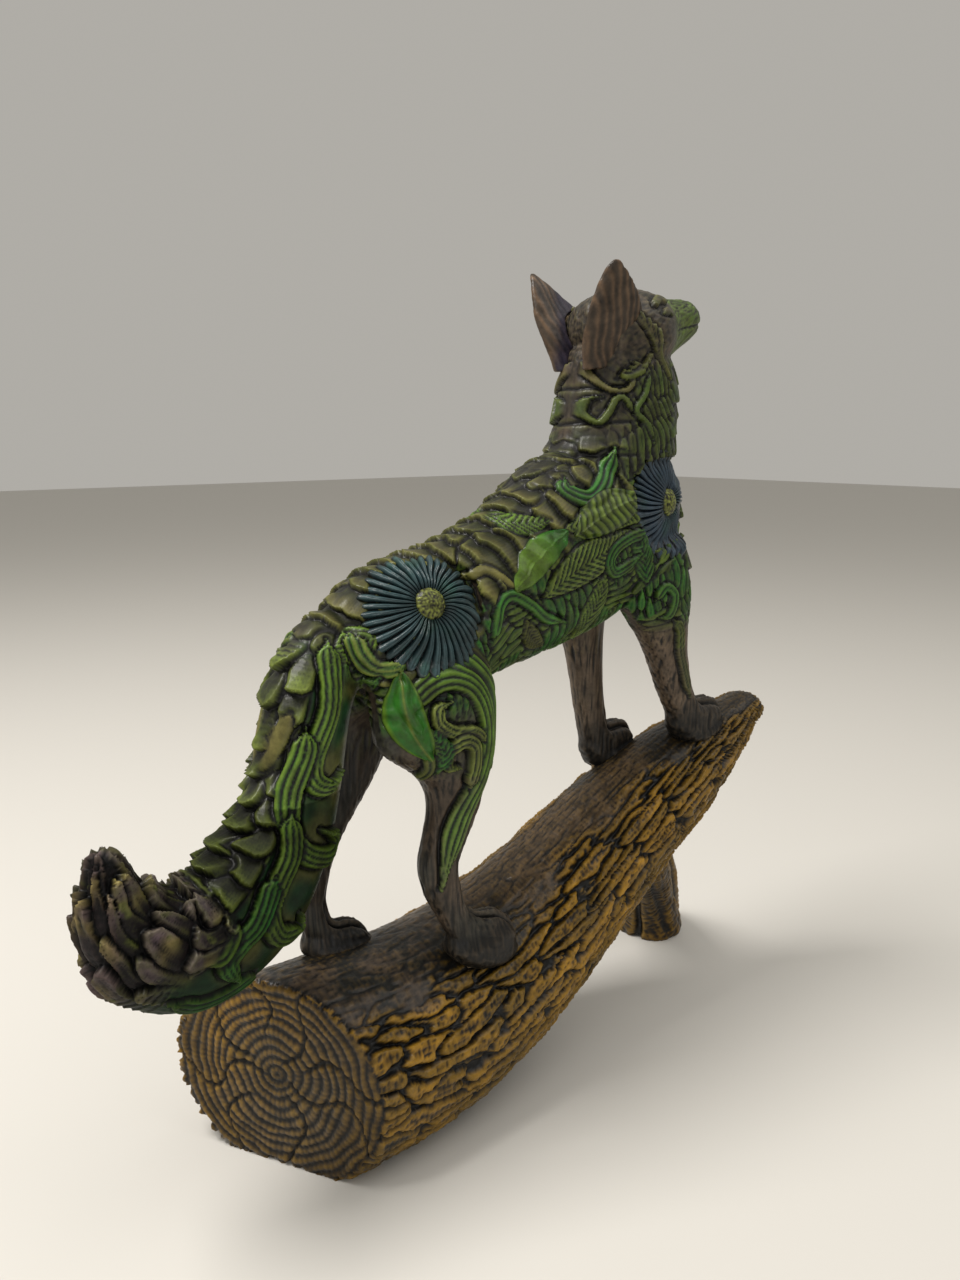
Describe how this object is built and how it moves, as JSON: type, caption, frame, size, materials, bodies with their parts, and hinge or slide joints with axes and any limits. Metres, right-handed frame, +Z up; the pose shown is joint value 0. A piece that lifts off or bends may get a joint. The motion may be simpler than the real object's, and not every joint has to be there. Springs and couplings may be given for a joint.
{
  "type": "carved wooden fox figurine",
  "caption": "Relief-carved, painted wooden fox standing on a curved bark-covered log, its tail hanging down behind and curling up at the tip.",
  "frame": {"origin": "bottom centre of the whole figure's bounding box, on the surface it stands on", "axes": "+X the way the fox looks, along the log from its sawn end to its raised tip; +Y the fox's left side; +Z up"},
  "size_m": [0.2107, 0.0598, 0.2111],
  "materials": {
    "log_bark": "satin varnish over amber and black stained bark",
    "painted_fur": "satin varnish over olive, green and brown stain",
    "tail_fur": "satin varnish over olive, tan and green stain",
    "leg_wood": "satin varnish over brown-grey stain",
    "ear_wood": "satin varnish over brown stain",
    "blue_petals": "satin varnish over dark teal-blue stain",
    "flower_eye": "satin varnish over olive-yellow stain",
    "carved_leaf": "satin varnish over green and yellow stain",
    "dowel_wood": "bare pale wood"
  },
  "bodies": {
    "root": {"head": "painted_fur", "head_dowel": "dowel_wood", "left_ear": "ear_wood", "left_ear_dowel": "dowel_wood", "left_flank_leaf": "carved_leaf", "left_fore_leg": "leg_wood", "left_fore_leg_dowel": "dowel_wood", "left_fore_paw_dowel": "dowel_wood", "left_hind_leg": "leg_wood", "left_hind_leg_dowel": "dowel_wood", "left_hind_paw_dowel": "dowel_wood", "left_hip_flower_eye": "flower_eye", "left_hip_flower_petals": "blue_petals", "left_shoulder_flower_eye": "flower_eye", "left_shoulder_flower_petals": "blue_petals", "left_shoulder_leaf": "carved_leaf", "left_thigh_leaf": "carved_leaf", "log_root_foot": "log_bark", "log_trunk": "log_bark", "neck": "painted_fur", "neck_dowel_back": "dowel_wood", "neck_dowel_front": "dowel_wood", "right_ear": "ear_wood", "right_ear_dowel": "dowel_wood", "right_flank_leaf": "carved_leaf", "right_fore_leg": "leg_wood", "right_fore_leg_dowel": "dowel_wood", "right_fore_paw_dowel": "dowel_wood", "right_hind_leg": "leg_wood", "right_hind_leg_dowel": "dowel_wood", "right_hind_paw_dowel": "dowel_wood", "right_hip_flower_eye": "flower_eye", "right_hip_flower_petals": "blue_petals", "right_shoulder_flower_eye": "flower_eye", "right_shoulder_flower_petals": "blue_petals", "right_shoulder_leaf": "carved_leaf", "right_thigh_leaf": "carved_leaf", "root_dowel": "dowel_wood", "tail": "tail_fur", "tail_dowel": "dowel_wood", "torso": "painted_fur"}
  },
  "joints": []
}
